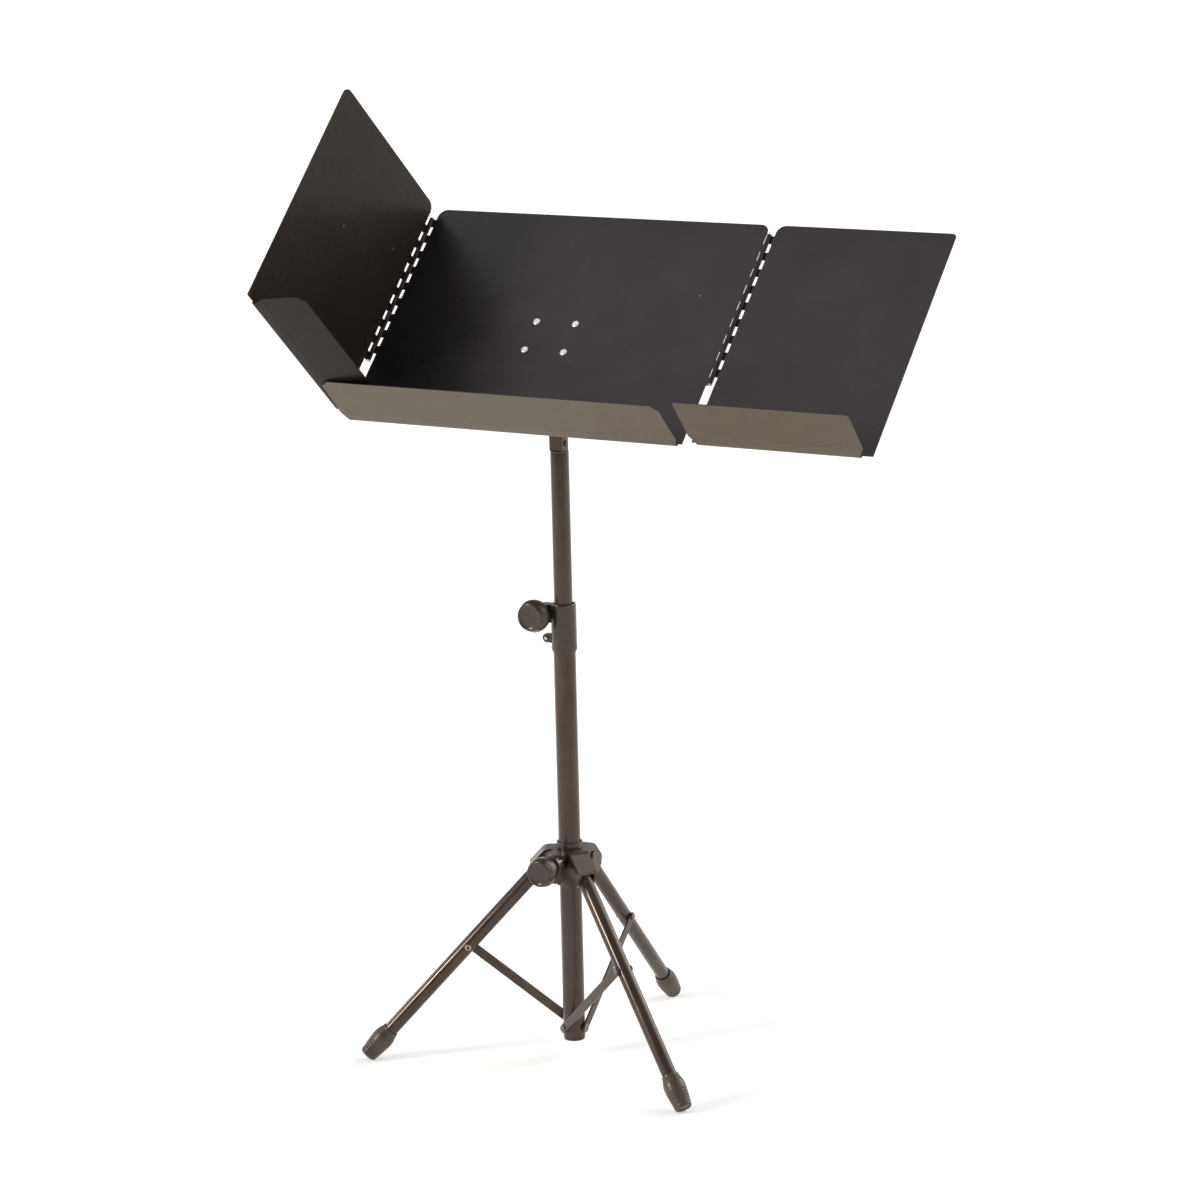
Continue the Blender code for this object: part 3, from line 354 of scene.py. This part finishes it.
PANELS = panel_looks()
TUBE = tube_enamel()
ZINC = plated("zinc_plate", (0.40, 0.37, 0.33), (0.64, 0.61, 0.56), 0.5, 0.20, 0.44)
DULLED = plated("dulled_zinc", (0.15, 0.125, 0.10), (0.28, 0.24, 0.20), 0.6, 0.26, 0.46)
NICKEL = plated("nickel_plate", (0.86, 0.85, 0.83), (0.96, 0.96, 0.95), 0.10, 0.20, 0.32, 0.35)
BRASSY = plated("yellowed_zinc", (0.27, 0.21, 0.15), (0.46, 0.37, 0.27), 0.6, 0.24, 0.42)
PLASTIC = moulded_plastic()
RUBBER = boot_rubber()
FINISH_OF_SLOT = {"panel_paint": PANELS["centre_panel"], "tube_paint": TUBE, "bright_steel": ZINC,
                  "knob_plastic": PLASTIC, "foot_rubber": RUBBER}


# ---------------------------------------------------------------- shapes

def finished(work, name):
    """A mesh from a bmesh, smooth except at its sharp edges."""
    bmesh.ops.recalc_face_normals(work, faces=work.faces)
    mesh = bpy.data.meshes.new(name)
    work.to_mesh(mesh)
    work.free()
    mesh.shade_smooth()
    mesh.set_sharp_from_angle(angle=SHARP_ABOVE)
    return mesh


def filleted(corners, steps=5):
    """Rounds a profile's corners. Each is (radius, height) or (radius, height, fillet)."""
    line = []
    for number, corner in enumerate(corners):
        here = Vector(corner[:2])
        if len(corner) < 3:
            line.append(tuple(here))
            continue
        before = Vector(corners[number - 1][:2])
        after = Vector(corners[(number + 1) % len(corners)][:2])
        start = here + (before - here).normalized() * corner[2]
        end = here + (after - here).normalized() * corner[2]
        for step in range(steps + 1):
            t = step / steps
            line.append(tuple(start * (1 - t) ** 2 + here * 2 * t * (1 - t) + end * t ** 2))
    return line


def turned(profile, sides=SIDES):
    """A bmesh turned about Z from (radius, height) points. A profile that starts off the axis closes
    on itself."""
    work = bmesh.new()
    rings = []
    for radius, height in profile:
        if radius < ROUNDING:
            rings.append([work.verts.new((0, 0, height))] * sides)
        else:
            turns = [2 * pi * side / sides for side in range(sides)]
            rings.append([work.verts.new((radius * cos(a), radius * sin(a), height)) for a in turns])
    pairs = list(zip(rings, rings[1:]))
    if profile[0][0] > ROUNDING:
        pairs.append((rings[-1], rings[0]))
    for upper, lower in pairs:
        for side in range(sides):
            after = (side + 1) % sides
            corners = [upper[side], upper[after], lower[after], lower[side]]
            face = list(dict.fromkeys(corners))
            if len(face) > 2:
                work.faces.new(face)
    return work


def along(direction, origin):
    """A placement whose Z is the direction."""
    return Matrix.Translation(origin) @ Vector(direction).to_track_quat("Z", "Y").to_matrix().to_4x4()


def corner_points(node):
    """A CAD node's corners, each taken once, so that their mean lies on a turned node's axis."""
    places = {tuple(round(value, 6) for value in vertex.co) for vertex in NODES[node].data.vertices}
    return [Vector(place) for place in sorted(places)]


def measured(node, direction):
    """A turned CAD node's placement with Z along the direction, and its lowest and highest points."""
    points = corner_points(node)
    middle = sum(points, Vector()) / len(points)
    axis = Vector(direction).normalized()
    heights = [(point - middle).dot(axis) for point in points]
    return along(axis, middle), min(heights), max(heights)


def piece(name, work, matrix, look, *stands_for):
    """Adds a piece in place of CAD nodes, riding on their body, with the given finish."""
    work.transform(matrix)
    item = bpy.data.objects.new(name, finished(work, name))
    bpy.context.scene.collection.objects.link(item)
    item.data.materials.append(look)
    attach(item, BODY_OF[stands_for[0]])
    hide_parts(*stands_for)


def refined(node, width, look=None):
    """Keeps a CAD node's own shape, with its edges softened and its finish applied."""
    item = NODES[node]
    item.data.materials.clear()
    item.data.materials.append(look or FINISH_OF_SLOT[SLOT_OF[node]])
    if width:
        weld = item.modifiers.new("Weld", "WELD")
        weld.merge_threshold = 0.002 * MM
        bevel = item.modifiers.new("Soft edges", "BEVEL")
        bevel.width = width
        bevel.segments = 2
        bevel.limit_method = "ANGLE"
        bevel.angle_limit = SOFTEN_ABOVE
        bevel.use_clamp_overlap = True
        bevel.harden_normals = False
        normals = item.modifiers.new("Normals", "WEIGHTED_NORMAL")
        normals.keep_sharp = False


# ---------------------------------------------------------------- tubes and sleeves

def tube_ends(node, pivot):
    """The direction of a tube that runs away from a point on its axis, and the distance to its end."""
    end_ring_depth = 1.5 * MM
    points = [point - pivot for point in corner_points(node)]
    rough = (sum(points, Vector()) / len(points)).normalized()
    reach = max(point.dot(rough) for point in points)
    end_ring = [point for point in points if point.dot(rough) > reach - end_ring_depth]
    end = sum(end_ring, Vector()) / len(end_ring)
    return end.normalized(), end.length


def tube(name, place, low, high, outer, inner, node):
    """A drawn tube with rounded rims, between two heights along its placement's Z."""
    rim = 0.35 * MM
    corners = [(outer, high, rim), (outer, low, rim), (inner, low, rim), (inner, high, rim)]
    piece(name, turned(filleted(corners, 3)), place, TUBE, node)


def axis_foot(low, high):
    """The foot of an upright axis, on the floor, from the corners of a box round it."""
    return Vector(((low.x + high.x) / 2, (low.y + high.y) / 2, 0))


def column_tubes():
    for node, outer, inner in (("upper_tube", 10 * MM, 8.5 * MM), ("lower_tube", 12 * MM, 10.5 * MM)):
        low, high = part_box(node)
        place = Matrix.Translation(axis_foot(low, high))
        tube(f"{node}_drawn", place, low.z, high.z, outer, inner, node)


def column_sleeves():
    """The bush that slides in the hub, with a collar on top, and the plug in the column's foot."""
    collar, outside, bore = 14.15 * MM, 13 * MM, 12.3 * MM
    place, low, high = measured("hub_bush", UP)
    seat = high - 7.2 * MM
    corners = [(collar, high, 0.9 * MM), (collar, seat), (outside, seat),
               (outside, low), (bore, low), (bore, high, 0.5 * MM)]
    piece("hub_sleeve", turned(filleted(corners)), place, PLASTIC, "hub_bush")
    spigot, flange, hollow = 10.2 * MM, 11.7 * MM, 1 * MM
    place, low, high = measured("bottom_cap", UP)
    seat = high - 5 * MM
    corners = [(0, high), (spigot, high, 0.4 * MM), (spigot, seat), (flange, seat, 0.3 * MM),
               (flange, low, 1.1 * MM), (7 * MM, low, 0.5 * MM), (6 * MM, low + hollow, 0.4 * MM),
               (0, low + hollow)]
    piece("column_plug", turned(filleted(corners)), place, PLASTIC, "bottom_cap")


# ---------------------------------------------------------------- legs and boots

def boot_profile(top, end):
    """A boot from inside its bore, over its top rim and down its ribbed outside to its end, as
    (radius, distance down the leg)."""
    stations = [(39, 9.3), (36.6, 9.5), (35.6, 9.9), (33, 10.7), (29, 11.7), (25, 12.0), (20, 11.8),
                (15, 11.3), (9, 10.5), (4, 9.9), (1.6, 9.55), (0.5, 9.1), (0, 8.4)]     # mm up, radius
    grooves = [4.5, 8.1, 11.7, 15.3, 18.9]                                               # mm up
    groove_half_width, groove_depth, bore, steps = 0.7, 0.5 * MM, 8.3 * MM, 110
    floor_of_bore, dish = end - 9 * MM, end - 0.8 * MM
    line = [(0, floor_of_bore), (bore, floor_of_bore), (bore, top + 0.4 * MM), (bore + 0.5 * MM, top)]
    for step in range(steps + 1):
        up = stations[0][0] * (1 - step / steps)
        below = max(station for station in stations if station[0] <= up)
        above = min(station for station in stations if station[0] >= up)
        share = 0 if below == above else (up - below[0]) / (above[0] - below[0])
        radius = below[1] + (above[1] - below[1]) * share
        cut = max(max(0, 1 - abs(up - groove) / groove_half_width) for groove in grooves)
        line.append((radius * MM - groove_depth * cut ** 0.6, end - up * MM))
    return line + [(7.4 * MM, end), (6.8 * MM, dish), (0, dish)]


def boot(name, place, top, end):
    """A leg's rubber boot, worn flat where it stands on the floor."""
    work = turned(boot_profile(top, end))
    work.transform(place)
    cut = bmesh.ops.bisect_plane(work, geom=[*work.verts, *work.edges, *work.faces], dist=ROUNDING,
                                 plane_co=(0, 0, 0), plane_no=(0, 0, 1), clear_inner=True)
    rim = [edge for edge in cut["geom_cut"] if isinstance(edge, bmesh.types.BMEdge)]
    bmesh.ops.holes_fill(work, edges=rim, sides=0)
    piece(f"{name}_boot", work, Matrix(), RUBBER, f"{name}_foot")


def rivet(node, name, direction, profile_of, look):
    """A turned fastener in place of a CAD node. profile_of takes the node's low and high ends."""
    place, low, high = measured(node, direction)
    piece(name, turned(profile_of(low, high), SMALL_SIDES), place, look, node)


def domed(radius, thick, shank, low, high):
    """A domed head at the high end of a shank. Its edge stands straight for part of its thickness."""
    seat, straight, fullness = high - thick, 0.35, 0.8
    turns = [radians(angle) for angle in range(90, -1, -10)]
    rise = [(radius * cos(turn) ** fullness, seat + straight * thick + (1 - straight) * thick * sin(turn))
            for turn in turns]
    rise[0] = (0, high)
    return rise + [(radius, seat), (shank, seat), (shank, low), (0, low)]


def eyelet(low, high):
    """The hollow leg rivet, its rolled rim at the low end."""
    shank, bore = 2 * MM, 1.3 * MM
    seat, bottom = low + 1.4 * MM, low + 5.4 * MM
    return filleted([(0, high), (shank, high), (shank, seat), (3.8 * MM, seat, 0.5 * MM),
                     (3.6 * MM, low + 0.4 * MM, 0.5 * MM), (2.5 * MM, low, 0.5 * MM),
                     (bore, low + 0.5 * MM, 0.4 * MM), (bore, bottom), (0, bottom)], 4)


def brace_rivet(low, high):
    return domed(3.8 * MM, 1.5 * MM, 2 * MM, low, high)


def pivot_pin(low, high):
    """A leg's pivot in the hub's fork, with a flat head at each end."""
    head, shank, cap = 4.5 * MM, 2.5 * MM, 1.5 * MM
    upper = [(0, high), (head - 0.4 * MM, high, 0.5 * MM), (head, high - cap, 0.3 * MM), (shank, high - cap)]
    lower = [(shank, low + cap), (head, low + cap, 0.3 * MM), (head - 0.4 * MM, low, 0.5 * MM), (0, low)]
    return filleted(upper + lower, 4)


def column_rivet(low, high):
    """A brace's pivot on the column, with a domed head and a flat tail."""
    shank, tail, cap = 2.5 * MM, 4 * MM, 1.4 * MM
    return domed(4.5 * MM, 1.6 * MM, shank, low + cap, high)[:-1] + [(tail, low + cap), (tail, low), (0, low)]


def leg_set(name):
    """One leg with its boot and its rivets. A leg's tube starts a little above its pivot."""
    joint = JOINTS[f"{name}_leg_pivot"]
    pivot = Vector(joint["pos_m"])
    side = -Vector(joint["axis"])
    down, reach = tube_ends(f"{name}_leg", pivot)
    place = along(down, pivot)
    above_pivot, outer, inner = 3.5 * MM, 8 * MM, 6.8 * MM
    tube(f"{name}_leg_tube", place, -above_pivot, reach, outer, inner, f"{name}_leg")
    ends = [(vertex.co - pivot).dot(down) for vertex in NODES[f"{name}_foot"].data.vertices]
    boot(name, place, min(ends), max(ends))
    rivet(f"{name}_leg_rivet", f"{name}_eyelet", side, eyelet, BRASSY)
    rivet(f"{name}_brace_rivet", f"{name}_brace_rivet_head", side, brace_rivet, DULLED)
    rivet(f"{name}_leg_pin", f"{name}_pivot_pin", side, pivot_pin, TUBE)
    rivet(f"{name}_column_rivet", f"{name}_column_rivet_head", side, column_rivet, DULLED)


# ---------------------------------------------------------------- knobs

def knob(name, node, direction, corners):
    """A turned hand knob. Its corners run from the face to the seat, as millimetres of radius, of
    distance back from the face and, where there is one, of fillet."""
    place, low, high = measured(node, direction)
    in_metres = [(radius * MM, high - back * MM, *(size * MM for size in fillet))
                 for radius, back, *fillet in corners]
    piece(name, turned(filleted(in_metres, 8)), place, PLASTIC, node)


def knobs():
    knob("clutch_hand_knob", "clutch_knob", FRONT, [
        (0, 0.9), (11.2, 0.9, 0.8), (12.4, 0, 0.8), (14.8, 0, 1.2), (18.2, 8, 2.2), (17.2, 15.4, 1.4),
        (9.6, 17.4, 1.6), (8, 20, 1), (8, 26.2, 0.4), (2.8, 26.2), (2.8, 8), (0, 8)])
    knob("hub_hand_knob", "hub_knob", FRONT, [
        (0, 0.8), (10.6, 0.8, 0.7), (11.6, 0, 0.7), (14, 0, 1.2), (16.3, 7, 2), (15.6, 16, 1.2),
        (12.6, 18, 1), (11, 22.7, 0.5), (3.3, 22.7), (3.3, 8), (0, 8)])
    knob("tilt_hand_knob", "tilt_knob", ACROSS, [
        (0, 0.6), (8.4, 0.6, 0.5), (9.2, 0, 0.5), (11.4, 0, 0.9), (13, 3, 1), (13, 9, 1),
        (8.2, 11.2, 1), (7, 16, 0.3), (3.3, 16), (3.3, 4.5), (0, 4.5)])


# ---------------------------------------------------------------- desk fasteners

def desk_rivet(low, high):
    """A rivet that holds the bracket, its domed head on the desk's face."""
    tail, cap = 3.4 * MM, 1.2 * MM
    head = domed(4 * MM, 1.7 * MM, 2 * MM, low + cap, high)[:-1]
    return head + [(tail, low + cap), (tail, low + 0.4 * MM), (3 * MM, low), (0, low)]


def neck_rivet(low, high):
    """A rivet with a flat head at each end."""
    head, rim, shank, cap = 3.6 * MM, 3.4 * MM, 2 * MM, 1.2 * MM
    upper = [(0, high), (rim, high, 0.5 * MM), (head, high - cap), (shank, high - cap)]
    lower = [(shank, low + cap), (head, low + cap), (rim, low, 0.5 * MM), (0, low)]
    return filleted(upper + lower, 4)


def hexagon_head(node, name, direction, corner, thick, shank):
    """A hexagon-headed screw, its head at the low end, of the head's corner radius and thickness. The
    shank starts half-way into the head."""
    place, low, high = measured(node, direction)
    seat, chamfer_in, chamfer_down = low + thick, 0.8 * MM, 0.7 * MM
    head = turned([(0, seat), (corner, seat), (corner, low + chamfer_down), (corner - chamfer_in, low),
                   (0, low)], 6)
    start = low + thick * 0.5
    rod = turned(filleted([(0, high), (shank, high, 0.5 * MM), (shank, start), (0, start)]), SMALL_SIDES)
    spare = bpy.data.meshes.new("rod")
    rod.to_mesh(spare)
    rod.free()
    head.from_mesh(spare)
    piece(name, head, place, ZINC, node)


def fasteners():
    for number in range(1, 5):
        rivet(f"desk_rivet_{number}", f"desk_rivet_head_{number}", DESK_OUT, desk_rivet, NICKEL)
    outer, inner, rim = 7.5 * MM, 3.3 * MM, 0.3 * MM
    for node in ("left_tilt_washer", "right_tilt_washer"):
        place, low, high = measured(node, ACROSS)
        corners = [(outer, high, rim), (outer, low, rim), (inner, low), (inner, high)]
        piece(f"{node}_disc", turned(filleted(corners, 3), SMALL_SIDES), place, ZINC, node)
    rivet("neck_rivet", "neck_rivet_heads", ACROSS, neck_rivet, TUBE)
    hexagon_head("tilt_bolt", "tilt_bolt_hexagon", ACROSS, 5.5 * MM, 3 * MM, 3 * MM)
    hexagon_head("clutch_screw", "clutch_screw_hexagon", FRONT, 4.5 * MM, 4 * MM, 2.5 * MM)


# ---------------------------------------------------------------- studio

def floor():
    """A pale floor that runs out to the horizon, just under the boots."""
    reach, drop, glow = 40, 0.2 * MM, 0.34
    work = bmesh.new()
    bmesh.ops.create_grid(work, x_segments=4, y_segments=4, size=reach)
    item = bpy.data.objects.new("studio_floor", finished(work, "studio_floor"))
    item.location.z = -drop
    bpy.context.scene.collection.objects.link(item)
    made, tree, shader = shader_nodes("studio_floor")
    colour = coat(tree, 1.5, (0.875, 0.872, 0.868), (0.895, 0.893, 0.890), detail=3)
    wire(tree, colour, shader.inputs["Base Color"])
    shader.inputs["Roughness"].default_value = 0.85
    shader.inputs["Specular IOR Level"].default_value = 0.1
    shader.inputs["Emission Color"].default_value = (1, 1, 1, 1)
    shader.inputs["Emission Strength"].default_value = glow
    item.data.materials.append(made)


def grey(level):
    return (level, level, level)


def world():
    """White round the horizon, dim overhead where the ceiling is out of the light, and dimmer in
    front, where nothing is lit."""
    made = bpy.data.worlds.new("studio")
    made.use_nodes = True
    tree = made.node_tree
    ahead_of_desk = Vector((0.45, -0.89, 0.0))
    height = span(tree, reading(tree, "Generated", UP), 0, 1, -1, 1)
    colour = ramp(tree, height, [(0.0, grey(1)), (0.52, grey(1)), (0.66, grey(0.36)), (1.0, grey(0.20))])
    ahead = span(tree, reading(tree, "Generated", ahead_of_desk), 0, 0.85, 0.30, 0.80)
    colour = blended(tree, ahead, colour, grey(0.08))
    background = tree.nodes["Background"]
    wire(tree, colour, background.inputs["Color"])
    background.inputs["Strength"].default_value = 1.0
    bpy.context.scene.world = made


def soft_sun(name, towards, strength, spread, colour=(1, 1, 1)):
    """Even light from a patch of the studio that is spread degrees wide. towards points from the
    object to the light."""
    data = bpy.data.lights.new(name, "SUN")
    data.energy = strength
    data.angle = radians(spread)
    data.color = colour
    item = bpy.data.objects.new(name, data)
    bpy.context.scene.collection.objects.link(item)
    item.rotation_euler = Vector(towards).to_track_quat("Z", "Y").to_euler()


def lights():
    warm_box = (1.0, 0.94, 0.87)
    soft_sun("key_from_behind", (0.55, 0.62, 0.56), 1.5, 60)
    soft_sun("overhead_box", (-0.46, -0.20, 0.86), 0.42, 54)
    soft_sun("left_box", (-0.59, -0.70, 0.40), 1.8, 13, warm_box)
    soft_sun("far_left_box", (-0.95, 0.05, 0.25), 0.35, 16, warm_box)
    soft_sun("right_box", (0.92, -0.20, 0.34), 0.32, 22, warm_box)
    soft_sun("far_strip", (0.44, 0.76, 0.48), 0.3, 12)


def camera():
    """Stands to the right of the desk and a little above it, far enough away for a long lens. Its
    place and its aim are measured from the foot of the column."""
    stands_at = Vector((2.12828, -3.48027, 1.41253))
    aims_at = Vector((0.033415, 0.019998, 0.512963))
    sensor_width, focal_length, roll = 36, 116.586, radians(-1.371)
    low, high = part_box("lower_tube")
    foot = axis_foot(low, high)
    place, aim = foot + stands_at, foot + aims_at
    data = bpy.data.cameras.new("photo_camera")
    data.sensor_width = sensor_width
    data.lens = focal_length
    item = bpy.data.objects.new("photo_camera", data)
    bpy.context.scene.collection.objects.link(item)
    back = (place - aim).normalized()
    right = UP.cross(back).normalized()
    turn = Matrix((right, back.cross(right), back)).transposed().to_4x4()
    item.matrix_world = Matrix.Translation(place) @ turn @ Matrix.Rotation(roll, 4, "Z")
    bpy.context.scene.camera = item


# ---------------------------------------------------------------- the whole stand

column_tubes()
column_sleeves()
for leg in LEGS:
    leg_set(leg)
knobs()
fasteners()

for node, look in PANELS.items():
    refined(node, PANEL_EDGE, look)
for node in ("hub", "clutch_collar", "tilt_neck", "desk_bracket"):
    refined(node, FOLDED_EDGE)
for leg in LEGS:
    refined(f"{leg}_brace", BRACE_EDGE)
for node in ("neck_ferrule", "clutch_bush", "clutch_pin", "glide_plug", "hub_screw",
             "left_hinge_pin", "right_hinge_pin"):
    refined(node, 0)

floor()
world()
lights()
camera()
bpy.context.scene.view_settings.view_transform = "Standard"
